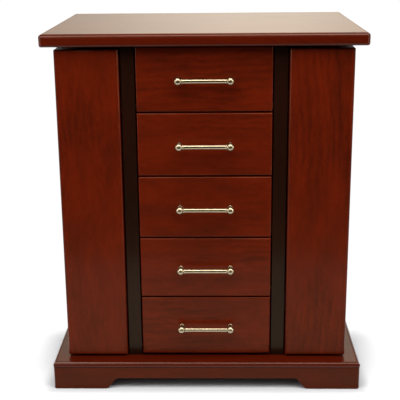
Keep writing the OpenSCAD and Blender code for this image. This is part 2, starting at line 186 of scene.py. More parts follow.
direction = add_node(sky, "ShaderNodeTexCoord").outputs["Generated"]
way = add_node(sky, "ShaderNodeSeparateXYZ", Vector=direction)
sideways, backward, upward = (way.outputs[axis] for axis in "XYZ")
behind = ramp(sky, backward, *FRONT_TO_BACK)
low_part = maths(sky, "MULTIPLY", ramp(sky, upward, *WALL_TOP), ramp(sky, upward, *WALL_FOOT))
gleam = maths(sky, "MULTIPLY", ramp(sky, sideways, *GLEAM_LEFT), ramp(sky, sideways, *GLEAM_RIGHT))
wall = maths(sky, "MULTIPLY", behind, low_part)
glow = maths(sky, "MULTIPLY", wall, maths(sky, "MULTIPLY", gleam, WALL_GLOW))
fill = maths(sky, "MULTIPLY", ramp(sky, upward, *CEILING), CEILING_GLOW)
strength = maths(sky, "ADD", glow, maths(sky, "ADD", fill, DIM_GLOW))
print("the strength of the room's light takes", len(sky.nodes), "nodes")

# %% [markdown]
# The camera sees only a plain white backdrop. Every other ray sees the glowing room. What the lacquer
# mirrors is tinted warm, and more so higher up.

# %% The colour of the room
NEAR_WHITE = (1.0, 0.98, 0.95)
MIRRORED_LOW = (1.0, 0.95, 0.82)
MIRRORED_HIGH = (1.0, 0.86, 0.66)
LOW_TO_HIGH = (0.07, 0.13)

seen = add_node(sky, "ShaderNodeLightPath").outputs["Is Camera Ray"]
shiny = add_node(sky, "ShaderNodeLightPath").outputs["Is Glossy Ray"]
backdrop = add_node(sky, "ShaderNodeBackground", Color=(1, 1, 1, 1), Strength=BACKGROUND)
mirrored = add_node(sky, "ShaderNodeMix", data_type="RGBA")
plug(sky, ramp(sky, upward, *LOW_TO_HIGH), mirrored.inputs["Factor"])
mirrored.inputs[6].default_value = (*MIRRORED_LOW, 1)
mirrored.inputs[7].default_value = (*MIRRORED_HIGH, 1)
warmth = add_node(sky, "ShaderNodeMix", data_type="RGBA")
plug(sky, shiny, warmth.inputs["Factor"])
warmth.inputs[6].default_value = (*NEAR_WHITE, 1)
plug(sky, mirrored.outputs[2], warmth.inputs[7])
lighting = add_node(sky, "ShaderNodeBackground", Color=warmth.outputs[2], Strength=strength)
mixed = add_node(sky, "ShaderNodeMixShader", _0=seen, _1=lighting, _2=backdrop)
add_node(sky, "ShaderNodeOutputWorld", Surface=mixed)
print("the whole world takes", len(sky.nodes), "nodes")

# %% [markdown]
# ## Softboxes
# Area lights do the rest: a long one over the lid, a lower one for the fronts under the lid's overhang,
# a key light and a fill light from the left and the right, and two tall narrow ones at the sides. The
# lower one is hidden from mirrored rays, because a pull's balls would show it as hard white spots.

# %% Softboxes
WARM_WHITE = (1.0, 0.96, 0.90)
KEY_WHITE = (1.0, 0.97, 0.93)
SQUARE_BOX = (0.8, 0.8)


def softbox(name, place, aim, size, watts, tint):
    """A soft light at place, which faces aim. size is its width and depth."""
    light = bpy.data.lights.new(name, "AREA")
    light.shape = "RECTANGLE"
    light.size, light.size_y = size
    light.energy = watts
    light.color = tint
    lamp = bpy.data.objects.new(name, light)
    lamp.location = place
    lamp.rotation_euler = (Vector(aim) - Vector(place)).to_track_quat("-Z", "Y").to_euler()
    scene.collection.objects.link(lamp)
    return lamp


softbox("high_light", (0.0, -0.50, 1.35), (0, -0.12, 0.0), (1.5, 0.38), 14, WARM_WHITE)
front_light = softbox("front_light", (0.0, -0.62, 0.85), (0, -0.10, 0.30), (1.2, 0.30), 4.4, NEAR_WHITE)
front_light.visible_glossy = False
softbox("key_light", (-0.75, -1.10, 1.15), (0, -0.1, 0.2), SQUARE_BOX, 5, KEY_WHITE)
softbox("fill_light", (0.9, -0.9, 1.3), (0, -0.1, 0.15), SQUARE_BOX, 5, NEAR_WHITE)
for side in (-1, 1):
    softbox(f"edge_light_{side}", (1.25 * side, -0.40, 0.45), (0, -0.1, 0.2), (0.16, 0.9), 4, WARM_WHITE)

# %% [markdown]
# ## The table
# The table is a plain white sheet, bright enough to melt into the background, so that only the soft shadow
# under the chest shows. It does so in two steps: up to a few centimetres from the base it is a matt sheet
# that takes shadow, and its colour is darker and cooler at the base's foot, a painted shadow; further off
# it simply glows like the background. It ends less than forty centimetres in front of the chest: beyond,
# the wood mirrors the dark.

# %% The table
TABLE_FRONT = -0.50
TABLE_REACH = 3.0
MATT_ENDS = (6 * MM, 45 * MM)             # from the base: where the matt sheet starts and stops to fade
# A painted shadow: the sheet's colour is darker and cooler next to the base's foot.
PAINTED_FOOT_SHADOW = (0.0, 16 * MM, 0.52, 0.76)   # from the base: two distances, and how white the sheet is at both
PAINTED_SHADOW_RED, PAINTED_SHADOW_BLUE = 0.96, 1.06

table = bpy.data.objects.new("table", bpy.data.meshes.new("table"))
table.data.from_pydata(
    [
        (-TABLE_REACH, TABLE_FRONT, 0), (TABLE_REACH, TABLE_FRONT, 0),
        (TABLE_REACH, TABLE_REACH, 0), (-TABLE_REACH, TABLE_REACH, 0),
    ],
    [], [(0, 1, 2, 3)],
)
scene.collection.objects.link(table)


def new_material(name):
    """A material with one Principled shader, and its node tree."""
    made = bpy.data.materials.new(name)
    made.use_nodes = True
    return made, made.node_tree, made.node_tree.nodes["Principled BSDF"]


paper, tree, shader = new_material("white_table")
shader.inputs["Roughness"].default_value = 0.9
shader.inputs["Specular IOR Level"].default_value = 0.1
place = add_node(
    tree, "ShaderNodeSeparateXYZ", Vector=add_node(tree, "ShaderNodeTexCoord").outputs["Object"]
)
# How far a point lies outside the front half of the base's footprint, along X and along Y
beside = []
for axis, heart, half in ((0, 0.0, cad_box[1].x), (1, 0.5 * cad_box[0].y, 0.5 * cad_box[1].y)):
    off = maths(tree, "ABSOLUTE", maths(tree, "SUBTRACT", place.outputs[axis], heart))
    beside.append(maths(tree, "MAXIMUM", maths(tree, "SUBTRACT", off, half), 0.0))
gap = add_node(
    tree, "ShaderNodeVectorMath", operation="LENGTH",
    _0=add_node(tree, "ShaderNodeCombineXYZ", X=beside[0], Y=beside[1]),
)
far_away = ramp(tree, gap.outputs["Value"], *MATT_ENDS)
# Painted shadow: the sheet's colour darkens and turns cooler towards the base.
shade = ramp(tree, gap.outputs["Value"], *PAINTED_FOOT_SHADOW)
painted_shadow_colour = add_node(
    tree, "ShaderNodeCombineColor",
    Red=maths(tree, "MULTIPLY", shade, PAINTED_SHADOW_RED),
    Green=shade,
    Blue=maths(tree, "MULTIPLY", shade, PAINTED_SHADOW_BLUE),
)
plug(tree, painted_shadow_colour, shader.inputs["Base Color"])
sweep = add_node(tree, "ShaderNodeEmission", Strength=BACKGROUND)
paper_mix = add_node(tree, "ShaderNodeMixShader", _0=far_away, _1=shader.outputs[0], _2=sweep)
plug(tree, paper_mix, tree.nodes["Material Output"].inputs["Surface"])
table.data.materials.append(paper)
print("the table ends", round((cad_box[0].y - TABLE_FRONT) / MM), "mm in front of the chest")

# %% [markdown]
# ## Stained and lacquered wood
# The boards are a plain hardwood, stained a red mahogany colour and sprayed with a clear satin lacquer.
# Wood is cut from a log, so the figure of a board is a slice through rings round the log's heart. The
# material does the same: each point of a board is placed in its log, and its distance from the heart picks
# a ring. A heart that runs at a slight slant gives the arches of a flat-sawn board. Over the rings come
# cloudy stain, long fibres, and short dark pores, which also dent the lacquer a little.
# Each board gets its own log, so no two boards match.

# %% Wood from a log
RING = 7.5 * MM           # distance between two growth rings
RING_WANDER = 2.4         # by how many rings uneven growth shifts them at most
SLANT = 0.20              # how far the log's heart runs out of true along a board
FIBRE_WIDTH = 0.9 * MM
PORE_WIDTH = 0.35 * MM
CLOUD, STREAK, FIBRE, PORE = 0.36, 0.22, 0.20, 0.26    # how much each darkens the stain
LACQUER_TINT = (1.0, 0.80, 0.36, 1)
PORE_DEPTH = 0.1 * MM


def log_space(tree, grain, seed):
    """Places the board in a log: grain names the board's axes across, through and along the grain."""
    place = add_node(
        tree, "ShaderNodeSeparateXYZ", Vector=add_node(tree, "ShaderNodeTexCoord").outputs["Object"]
    )
    across, through, along = (place.outputs[axis] for axis in grain)
    pick = random.Random(seed)
    heart_across = pick.uniform(-0.03, 0.03)
    heart_depth = pick.uniform(0.06, 0.10)
    shift = pick.uniform(0.2, 9.0)
    moved = maths(tree, "ADD", across, heart_across)
    depth = maths(tree, "ADD", maths(tree, "MULTIPLY_ADD", along, SLANT, heart_depth), through)
    return moved, depth, maths(tree, "ADD", along, shift)


def stretched(tree, place, width, length, detail=2.0, roughness=0.5):
    """Noise whose blobs are width across the grain and length along it, both in metres."""
    across, depth, along = place
    squeeze = maths(tree, "MULTIPLY", along, width / length)
    where = add_node(tree, "ShaderNodeCombineXYZ", X=across, Y=depth, Z=squeeze)
    return add_node(
        tree, "ShaderNodeTexNoise", Vector=where, Scale=1 / width, Detail=detail, Roughness=roughness
    ).outputs[0]


def blend_colours(tree, amount, first, second):
    """One Mix node for colours; each colour is linear RGB or a socket."""
    mix = add_node(tree, "ShaderNodeMix", data_type="RGBA")
    plug(tree, amount, mix.inputs["Factor"])
    for colour, socket in ((first, mix.inputs[6]), (second, mix.inputs[7])):
        plug(tree, colour if isinstance(colour, bpy.types.NodeSocket) else (*colour, 1), socket)
    return mix.outputs[2]


def wood(
    name, grain, seed, light, dark, figure,
    contrast=1.0, roughness=0.30, coat=0.08, level=0.145, relief=0.05,
):
    """Stained wood under a clear lacquer.

    figure is how strongly the rings show and contrast how strongly the whole grain does. coat and level
    are how strongly the lacquer and the wood under it mirror, and relief is how deep the pores dent it.
    """
    made, tree, shader = new_material(name)
    place = log_space(tree, grain, seed)
    wander = stretched(tree, place, 0.018, 0.07, 3.0)
    radius = add_node(
        tree, "ShaderNodeVectorMath", operation="LENGTH",
        _0=add_node(tree, "ShaderNodeCombineXYZ", X=place[0], Y=place[1], Z=0.0),
    ).outputs["Value"]
    count = maths(tree, "MULTIPLY_ADD", wander, RING_WANDER, maths(tree, "DIVIDE", radius, RING))
    ring = maths(tree, "FRACT", count)
    late_wood = maths(tree, "MULTIPLY", ramp(tree, ring, 0.2, 0.9), ramp(tree, ring, 1.0, 0.9))
    patch = ramp(tree, stretched(tree, place, 0.055, 0.16, 1.0), 0.40, 0.66)
    cloud = stretched(tree, place, 0.020, 0.11, 4.0, 0.55)
    streak = stretched(tree, place, 0.0030, 0.065, 4.0, 0.62)
    fibre = stretched(tree, place, FIBRE_WIDTH, 0.012, 2.0, 0.6)
    pore = ramp(tree, stretched(tree, place, PORE_WIDTH, 0.005, 1.0), 0.62, 0.72)
    shade = maths(tree, "MULTIPLY", maths(tree, "MULTIPLY", late_wood, patch), figure)
    shade = maths(tree, "MULTIPLY_ADD", ramp(tree, cloud, 0.34, 0.68), CLOUD, shade)
    shade = maths(tree, "MULTIPLY_ADD", ramp(tree, streak, 0.36, 0.68), STREAK, shade)
    shade = maths(tree, "MULTIPLY_ADD", ramp(tree, fibre, 0.35, 0.7), FIBRE, shade)
    shade = maths(tree, "MULTIPLY_ADD", pore, PORE, shade)
    shade = maths(tree, "MULTIPLY", shade, contrast)
    shade.node.use_clamp = True
    plug(tree, blend_colours(tree, shade, light, dark), shader.inputs["Base Color"])
    satin = ramp(tree, cloud, 0.3, 0.7, roughness - 0.4 * relief, roughness + 0.6 * relief)
    plug(tree, satin, shader.inputs["Roughness"])
    dents = maths(tree, "MULTIPLY_ADD", pore, -1.0, maths(tree, "MULTIPLY", fibre, 0.5))
    bump = add_node(tree, "ShaderNodeBump", Strength=relief, Distance=PORE_DEPTH, Height=dents)
    plug(tree, bump, shader.inputs["Normal"])
    shader.inputs["Specular IOR Level"].default_value = level
    shader.inputs["Specular Tint"].default_value = LACQUER_TINT
    shader.inputs["Coat Weight"].default_value = coat
    shader.inputs["Coat Roughness"].default_value = 0.13
    return made


print("growth rings every", round(RING / MM, 1), "mm")

# %% [markdown]
# ## The boards
# Grain follows the way a joiner cuts the boards: upright on doors, walls and stiles, lengthwise on the
# drawer fronts, the lid and the plinth. The three letters name the board's axes: across the grain,
# through the board and along the grain.
#
# A lacquered edge is never a knife edge. A Weld modifier joins the points that share a place, a Bevel
# modifier eases every sharp edge by about half a millimetre, and Weighted Normal keeps the flat faces flat
# while the roundings shade smoothly. All three leave the CAD mesh underneath as it was.

# %% The boards
UPRIGHT = "XYZ"
UPRIGHT_SIDE = "YXZ"
LENGTHWISE = "ZYX"
LENGTHWISE_FLAT = "YZX"
BACKWARD = "ZXY"

RED_LIGHT = (0.106, 0.0082, 0.0016)
RED_DARK = (0.036, 0.0036, 0.0010)
BLACK_LIGHT = (0.0150, 0.0036, 0.0018)
BLACK_DARK = (0.0050, 0.0020, 0.0014)
BARE_LIGHT = (0.56, 0.36, 0.19)
BARE_DARK = (0.38, 0.21, 0.095)
EASED = 0.45 * MM
EASED_THIN = 0.3 * MM          # for the thin edges of bare wood and plastic
SHARP = math.radians(40)       # an edge that turns by more than this is eased
THIN_LACQUER = (0.08, 0.145)   # how strongly the coat and the wood under it mirror

boards = {
    "base_board": LENGTHWISE_FLAT, "plinth_front": LENGTHWISE, "plinth_back": LENGTHWISE,
    "plinth_left": BACKWARD, "plinth_right": BACKWARD, "lid_board": LENGTHWISE_FLAT,
    "mirror_frame": LENGTHWISE_FLAT, "top_rail": LENGTHWISE, "well_floor": LENGTHWISE_FLAT,
    "left_wall": UPRIGHT_SIDE, "right_wall": UPRIGHT_SIDE, "back_board": UPRIGHT,
    "left_door_front": UPRIGHT, "right_door_front": UPRIGHT,
    "left_door_side": UPRIGHT_SIDE, "right_door_side": UPRIGHT_SIDE,
    "left_door_rails": LENGTHWISE, "right_door_rails": LENGTHWISE,
    **{f"drawer_{n}_front": LENGTHWISE for n in range(1, 6)},
}
bare_boards = {
    "corner_blocks": UPRIGHT, "drawer_runners": BACKWARD,
    **{f"drawer_{n}_box": BACKWARD for n in range(1, 6)},
}


def finish_node(node, material, eased=0.0):
    """Gives every surface of a CAD node one material, and eases its sharp edges."""
    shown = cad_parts[node]
    shown.data.materials.clear()
    shown.data.materials.append(material)
    shown.modifiers.new("weld", "WELD").merge_threshold = 0.001 * MM
    if eased:
        bevel = shown.modifiers.new("eased edges", "BEVEL")
        bevel.width = eased
        bevel.segments = 2
        bevel.angle_limit = SHARP
        bevel.use_clamp_overlap = True
    shown.data.polygons.foreach_set("use_smooth", [True] * len(shown.data.polygons))
    smooth = shown.modifiers.new("smooth roundings", "WEIGHTED_NORMAL")
    smooth.keep_sharp = False
    smooth.weight = 80


print(len(boards), "mahogany boards,", len(bare_boards), "bare wood nodes")

# %% [markdown]
# Each board then gets its finish. The lid, the base and the plinth are stained darker and show less
# figure. The lid and the base have more lacquer too, and the lid's is rubbed smooth. The stiles beside the
# drawers are stained nearly black. Drawer boxes, runners and corner blocks stay bare wood.

# %% Stain and lacquer
# How strong the figure and the whole grain are, and how light the stain is
FULL_GRAIN = (0.26, 1.0, 1.0)
quiet_grain = {"lid_board": (0.20, 0.55, 0.68), "base_board": (0.15, 0.6, 0.56)}
quiet_grain.update({f"plinth_{side}": (0.16, 0.8, 0.62) for side in ("front", "left", "right", "back")})
thick_lacquer = {"base_board": (0.45, 0.09), "lid_board": (0.35, 0.09)}

for seed, (node, grain) in enumerate(boards.items()):
    figure, contrast, tone = quiet_grain.get(node, FULL_GRAIN)
    coat, level = thick_lacquer.get(node, THIN_LACQUER)
    light, dark = ([part * tone for part in colour] for colour in (RED_LIGHT, RED_DARK))
    stained = wood(
        f"mahogany_{node}", grain, seed + 3, light, dark, figure, contrast, coat=coat, level=level,
        relief=0.01 if node == "lid_board" else 0.05,
    )
    finish_node(node, stained, EASED)
for seed, node in enumerate(("left_stile", "right_stile")):
    black = wood(
        f"espresso_{node}", UPRIGHT, seed + 50, BLACK_LIGHT, BLACK_DARK, figure=0.2, coat=0.12, level=0.14
    )
    finish_node(node, black, EASED)
for seed, (node, grain) in enumerate(bare_boards.items()):
    bare = wood(
        f"bare_{node}", grain, seed + 80, BARE_LIGHT, BARE_DARK, figure=0.35, roughness=0.6, coat=0.0
    )
    finish_node(node, bare, EASED_THIN)
print("materials so far:", len(bpy.data.materials))

# %% [markdown]
# ## Metal, glass and plastic
# The pulls and hooks are plated with warm nickel: a smooth metal, with a slight haze from polishing and
# faint cloudy tarnish. The hinges are brass sheet, brushed along the leaf, with brass screws. The mirror
# is silvered glass, and the catches are dark moulded plastic with a fine spark texture.

# %% Nickel, brass, mirror, plastic
TARNISH_SCALE = 140.0
SCRATCH_SCALE = 6000.0                    # polished the same way all round
BRUSHED_ALONG, BRUSHED_ACROSS = 90.0, 5000.0
SCRATCH_DEPTH = 0.03 * MM
SPARK_DEPTH = 0.08 * MM


def metal(name, bright, dull, rough, brushed=None):
    """Plated metal. brushed names the axis that the fine scratches run along."""
    made, tree, shader = new_material(name)
    place = add_node(tree, "ShaderNodeTexCoord").outputs["Object"]
    tarnish = add_node(tree, "ShaderNodeTexNoise", Vector=place, Scale=TARNISH_SCALE, Detail=3.0)
    cloudy = ramp(tree, tarnish.outputs[0], 0.35, 0.7)
    plug(tree, blend_colours(tree, cloudy, bright, dull), shader.inputs["Base Color"])
    stretch = [SCRATCH_SCALE] * 3
    if brushed:
        stretch = [BRUSHED_ALONG if axis == brushed else BRUSHED_ACROSS for axis in "XYZ"]
    squeezed = add_node(tree, "ShaderNodeVectorMath", operation="MULTIPLY", _0=place, _1=stretch)
    scratch = add_node(tree, "ShaderNodeTexNoise", Vector=squeezed, Scale=1.0, Detail=2.0).outputs[0]
    worn = maths(tree, "MULTIPLY_ADD", scratch, 0.02, ramp(tree, cloudy, 0, 1, rough - 0.01, rough + 0.01))
    plug(tree, worn, shader.inputs["Roughness"])
    bump = add_node(tree, "ShaderNodeBump", Strength=0.006, Distance=SCRATCH_DEPTH, Height=scratch)
    plug(tree, bump, shader.inputs["Normal"])
    shader.inputs["Metallic"].default_value = 1.0
    return made


def plain_finish(name, colour, dark, rough, grain, metallic=0.0):
    """A moulded or silvered surface, with faint mottling and a fine texture of size grain."""
    made, tree, shader = new_material(name)
    place = add_node(tree, "ShaderNodeTexCoord").outputs["Object"]
    mottle = add_node(tree, "ShaderNodeTexNoise", Vector=place, Scale=60.0, Detail=3.0).outputs[0]
    speck = add_node(tree, "ShaderNodeTexNoise", Vector=place, Scale=1 / grain, Detail=2.0).outputs[0]
    mottled = blend_colours(tree, ramp(tree, mottle, 0.35, 0.7), colour, dark)
    plug(tree, mottled, shader.inputs["Base Color"])
    plug(tree, ramp(tree, mottle, 0.3, 0.7, rough, rough * 1.25), shader.inputs["Roughness"])
    strength = 0.0 if metallic else 0.25
    bump = add_node(tree, "ShaderNodeBump", Strength=strength, Distance=SPARK_DEPTH, Height=speck)
    plug(tree, bump, shader.inputs["Normal"])
    shader.inputs["Metallic"].default_value = metallic
    return made


nickel = metal("satin_nickel", (0.46, 0.38, 0.26), (0.41, 0.335, 0.22), 0.25)
brass = metal("hinge_brass", (0.66, 0.47, 0.20), (0.52, 0.36, 0.15), 0.27, brushed="Z")
silver = plain_finish(
    "mirror_silver", (0.90, 0.91, 0.92), (0.88, 0.90, 0.905), rough=0.02, grain=0.001, metallic=1.0
)
plastic = plain_finish(
    "catch_plastic", (0.040, 0.020, 0.012), (0.028, 0.014, 0.009), rough=0.42, grain=0.0006
)

brass_parts = [
    "fixed_hinge_leaves", "hinge_pins", "lid_hinge_leaves", "left_door_hardware", "right_door_hardware",
]
nickel_parts = ["left_door_hooks", "right_door_hooks", *(f"drawer_{n}_pull" for n in range(1, 6))]
for node in nickel_parts:
    finish_node(node, nickel)
for node in brass_parts:
    finish_node(node, brass)
finish_node("mirror_glass", silver, 0.4 * MM)
finish_node("catch_magnets", plastic, EASED_THIN)
print(len(nickel_parts), "nickel nodes,", len(brass_parts), "brass nodes")

# %% [markdown]
# ## Velvet
# Trays, linings and ring rolls are velvet. Its pile leans one way or the other where a finger has brushed
# it, so it has soft lighter and darker strokes, and it glows at grazing angles. The strokes are soft
# noise, the glow is the shader's sheen, and the pile is a very fine bump. The pockets are sateen, a
# smoother woven cloth whose threads are two crossed waves. The pads under the feet are dark felt.

# %% Velvet, sateen and felt
WAVE_BAND = 0.314      # metres between two bands of a Wave texture whose scale is 1
STROKE_SCALE = 22.0
SHEEN_TINT = (1.0, 0.93, 0.80, 1)


def cloth(name, colour, brushed_colour, sheen, pile, relief, weave=None):
    """A fabric. colour and brushed_colour are its two looks.

    pile is the size of its fibres, relief their depth, and weave the distance between two threads, for
    a woven cloth without a pile.
    """
    made, tree, shader = new_material(name)
    place = add_node(tree, "ShaderNodeTexCoord").outputs["Object"]
    stroke = add_node(
        tree, "ShaderNodeTexNoise", Vector=place, Scale=STROKE_SCALE, Detail=4.0, Roughness=0.45
    ).outputs[0]
    fibre = add_node(
        tree, "ShaderNodeTexNoise", Vector=place, Scale=1 / pile, Detail=3.0, Roughness=0.7
    ).outputs[0]
    strokes = maths(tree, "MULTIPLY", ramp(tree, stroke, 0.30, 0.72), 0.65)
    tone = maths(tree, "MULTIPLY_ADD", fibre, 0.35, strokes)
    plug(tree, blend_colours(tree, tone, colour, brushed_colour), shader.inputs["Base Color"])
    height = fibre
    if weave:
        along = add_node(
            tree, "ShaderNodeTexWave", Vector=place, bands_direction="Y", Scale=WAVE_BAND / weave
        ).outputs[1]
        over = add_node(
            tree, "ShaderNodeTexWave", Vector=place, bands_direction="Z", Scale=WAVE_BAND / (1.6 * weave)
        ).outputs[1]
        height = maths(tree, "MULTIPLY_ADD", fibre, 0.4, maths(tree, "MULTIPLY", along, over))
    bump = add_node(tree, "ShaderNodeBump", Strength=0.5, Distance=relief, Height=height)
    plug(tree, bump, shader.inputs["Normal"])
    shader.inputs["Roughness"].default_value = 0.42 if weave else 0.9
    shader.inputs["Specular IOR Level"].default_value = 0.4 if weave else 0.15
    shader.inputs["Sheen Weight"].default_value = sheen
    shader.inputs["Sheen Roughness"].default_value = 0.35
    shader.inputs["Sheen Tint"].default_value = SHEEN_TINT
    return made


velvet = cloth(
    "champagne_velvet", (0.51, 0.41, 0.275), (0.42, 0.335, 0.22), sheen=0.55, pile=0.0004, relief=0.00025
)
sateen = cloth(
    "champagne_sateen", (0.56, 0.455, 0.31), (0.48, 0.385, 0.25), sheen=0.20, pile=0.0003, relief=0.00012,
    weave=0.0006,
)
dark_felt = cloth(
    "dark_felt", (0.050, 0.040, 0.034), (0.034, 0.027, 0.023), sheen=0.25, pile=0.0005, relief=0.0004
)
print("fabrics:", [fabric.name for fabric in (velvet, sateen, dark_felt)])

# %% [markdown]
# ## Velvet-covered cards
# The trays and linings are cards wrapped in velvet and pressed into place. A wrapped card has no sharp
# edge: the cloth turns over it in a small curve, and the face is never quite flat. So each CAD slab
# gives only its box, and a new mesh is laid over the box: a net of points, pulled in to round the edges
# and then dented by a soft noise. It never stands outside the box, so nothing that moves can catch on it.

# %% The box of each slab
def slabs(node):
    """The box of each separate solid in a CAD node, in a fixed order."""
    mesh = bmesh.new()
    mesh.from_mesh(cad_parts[node].data)
    bmesh.ops.remove_doubles(mesh, verts=mesh.verts, dist=0.001 * MM)
    left, found = set(mesh.verts), []
    while left:
        queue, island = [next(iter(left))], set()
        while queue:
            vert = queue.pop()
            if vert in island:
                continue
            island.add(vert)
            queue.extend(edge.other_vert(vert) for edge in vert.link_edges)
        left -= island
        points = np.array([vert.co for vert in island])
        found.append((points.min(0), points.max(0)))
    mesh.free()
    return sorted(found, key=lambda box: tuple(np.round(box[0] + 0.01 * box[1], 4)))


print("the well lining has", len(slabs("well_lining")), "cards")

# %% A card from its box
DENT_SCALE = 55        # dents in a metre, so one is about two centimetres wide


def ticks(low, high, turn, step):
    """Places for the lines of the net along one axis: close together where the edge turns."""
    near = [0, 0.3 * turn, turn]
    count = max(1, round((high - low - 2 * turn) / step))
    inner = [turn + (high - low - 2 * turn) * i / count for i in range(1, count)]
    return [low + v for v in near + inner] + [high - v for v in reversed(near)]


def covered_card(mesh, low, high, turn, step=0.007, dent=0.0, seed=0.0):
    """Adds a closed block with rounded edges of radius turn to a bmesh, its faces dented inwards."""
    turn = min(turn, 0.49 * float(min(high - low)))
    lines = [ticks(low[axis], high[axis], turn, step) for axis in range(3)]
    last = [len(line) - 1 for line in lines]
    made = {}

    def vert(key):
        if key not in made:
            place = Vector([lines[axis][key[axis]] for axis in range(3)])
            core = Vector([min(max(place[a], low[a] + turn), high[a] - turn) for a in range(3)])
            away = place - core
            out = away.normalized() if away.length > 0 else Vector((0, 0, 0))
            wave = 0.5 + 0.5 * noise.noise(place * DENT_SCALE + Vector((seed, 0, 0)))
            made[key] = mesh.verts.new(core + out * (turn - dent * wave))
        return made[key]

    for axis in range(3):
        u, v = [a for a in range(3) if a != axis]
        for side in (0, last[axis]):
            for i in range(last[u]):
                for j in range(last[v]):
                    corners = []
                    for du, dv in ((0, 0), (1, 0), (1, 1), (0, 1)):
                        key = [0, 0, 0]
                        key[axis], key[u], key[v] = side, i + du, j + dv
                        corners.append(vert(tuple(key)))
                    mesh.faces.new(corners)


trial = bmesh.new()
covered_card(trial, np.zeros(3), np.array([60.0, 40.0, 1.0]) * MM, 0.4 * MM)
print("a card of 60 x 40 mm has", len(trial.verts), "points")
trial.free()


# %% A new piece
def new_piece(name, mesh, material, body, slot, *replaced):
    """Turns a bmesh into a smooth piece that rides on a body and stands for CAD nodes."""
    bmesh.ops.recalc_face_normals(mesh, faces=mesh.faces)
    data = bpy.data.meshes.new(name)
    mesh.to_mesh(data)
    mesh.free()
    data.polygons.foreach_set("use_smooth", [True] * len(data.polygons))
    data.materials.append(material)
    piece = bpy.data.objects.new(name, data)
    scene.collection.objects.link(piece)
    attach(piece, body)
    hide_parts(*replaced)
    return piece


print("pieces so far:", len(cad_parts), "from the CAD model")

# %% The linings
CARD_TURN = 0.48 * MM
CARD_DENT = 0.10 * MM
linings = {
    "well_lining": "case", "wall_linings": "case",
    "left_door_lining": "left_door", "right_door_lining": "right_door",
    **{f"drawer_{n}_lining": f"drawer_{n}" for n in range(1, 6)},
}

for count, (node, body) in enumerate(linings.items()):
    cards = bmesh.new()
    boxes = slabs(node)
    for index, (low, high) in enumerate(boxes):
        covered_card(cards, low, high, CARD_TURN, dent=CARD_DENT, seed=count * 20.0 + index)
    piece = new_piece(f"{node}_velvet", cards, velvet, body, "velvet", node)
    print(piece.name, len(boxes), "cards", len(piece.data.vertices), "points")

# %% [markdown]
# ## Ring rolls
# Rings are pushed between soft rolls. A roll is foam in a velvet sleeve, longer than it is wide, and where
# it presses on its neighbours it goes flat. Cloth simulation is the quickest way to a believable one: a
# slimmer rounded bar is remeshed evenly, blown up from inside for a few frames, and a cap on how far a
# point may travel keeps every roll inside its place in the row. The sleeve's seam is pressed in after.

# %% Simulate one roll
FRAMES = 20


def puffed(piece, voxel, pressure):
    """Blows a closed mesh up with the Cloth modifier. Returns where its points were and where they end."""
    remesh = piece.modifiers.new("even net", "REMESH")
    remesh.mode = "VOXEL"
    remesh.voxel_size = voxel
    depsgraph = bpy.context.evaluated_depsgraph_get()
    piece.data = bpy.data.meshes.new_from_object(piece.evaluated_get(depsgraph))
    piece.modifiers.clear()
    start = np.array([v.co for v in piece.data.vertices])
    cloth_modifier = piece.modifiers.new("cloth", "CLOTH")
    settings = cloth_modifier.settings
    settings.use_pressure = True
    settings.uniform_pressure_force = pressure
    settings.effector_weights.gravity = 0
    settings.quality = 6
    settings.mass = 0.2
    scene.frame_start, scene.frame_end = 1, FRAMES
    for number in range(1, FRAMES + 1):
        scene.frame_set(number)
    depsgraph = bpy.context.evaluated_depsgraph_get()
    swollen = bpy.data.meshes.new_from_object(piece.evaluated_get(depsgraph))
    moved = np.array([v.co for v in swollen.vertices])
    piece.modifiers.clear()
    scene.frame_set(1)
    return start, moved


rolls = slabs("ring_cushions")
print(len(rolls), "rolls of", [round(v / MM, 1) for v in rolls[0][1] - rolls[0][0]], "mm")

# %% The row of rolls
CAP = 0.9 * MM                                 # how far a point may travel
BAR_MARGIN = np.array([0.6, 0.7, 0.4]) * MM    # how much slimmer the bar is than its place in the row
BAR_TOP = np.array([0.0, 0.0, 0.4 * MM])       # and how much lower besides
BAR_TURN = 6.2 * MM
NET_SIZE = 2.6 * MM
PRESSURE = 4.0
SEAM_WIDTH = 0.9 * MM
SEAM_DEPTH = 0.30 * MM

for number, (low, high) in enumerate(sorted(rolls, key=lambda box: box[0][1]), 1):
    bar = bmesh.new()
    covered_card(
        bar, low + BAR_MARGIN, high - BAR_MARGIN - BAR_TOP, BAR_TURN,
        step=0.004, dent=0.5 * MM, seed=number * 7.3,
    )
    roll = new_piece(f"ring_roll_{number}", bar, velvet, "case", "velvet", "ring_cushions")
    start, moved = puffed(roll, NET_SIZE, PRESSURE)
    step = moved - start
    far = np.linalg.norm(step, axis=1, keepdims=True)
    place = start + step * np.minimum(1, CAP / np.maximum(far, 1e-9))
    place = np.clip(place, low, high)
    roll.data.vertices.foreach_set("co", place.astype(np.float32).ravel())
    across = (low[1] + high[1]) / 2
    for vert in roll.data.vertices:
        x, y, z = vert.co
        crease = math.exp(-(((y - across) / SEAM_WIDTH) ** 2)) * (1 if z > high[2] - 4 * MM else 0)
        pull = 0.16 * MM * noise.noise(Vector((x * 90, y * 60, number * 3.1)))
        vert.co.z -= SEAM_DEPTH * crease * (0.7 + 0.3 * math.sin(x * 900)) + max(0.0, pull)
    roll.data.polygons.foreach_set("use_smooth", [True] * len(roll.data.polygons))
    smooth = roll.modifiers.new("smooth", "SUBSURF")
    smooth.levels = smooth.render_levels = 1
print("ring rolls done")

# %% [markdown]
# ## Gathered pockets
# The ends of the necklaces drop into a pocket on each door: a strip of sateen, cut about a fifth longer
# than the pocket is wide, drawn together by an elastic in its top hem and tacked down round the other
# three sides. The folds are tight at the hem and fade towards the belly, which hangs a little. Cloth
# simulation could gather it too, but a net of points whose folds are real waves is quicker, and its rows
# can be measured: the cloth is longer than the pocket by what the folds take up.

# %% The pocket's shape
FOLDS = 16
POCKET_ROWS = 30
POCKET_COLUMNS = FOLDS * 18
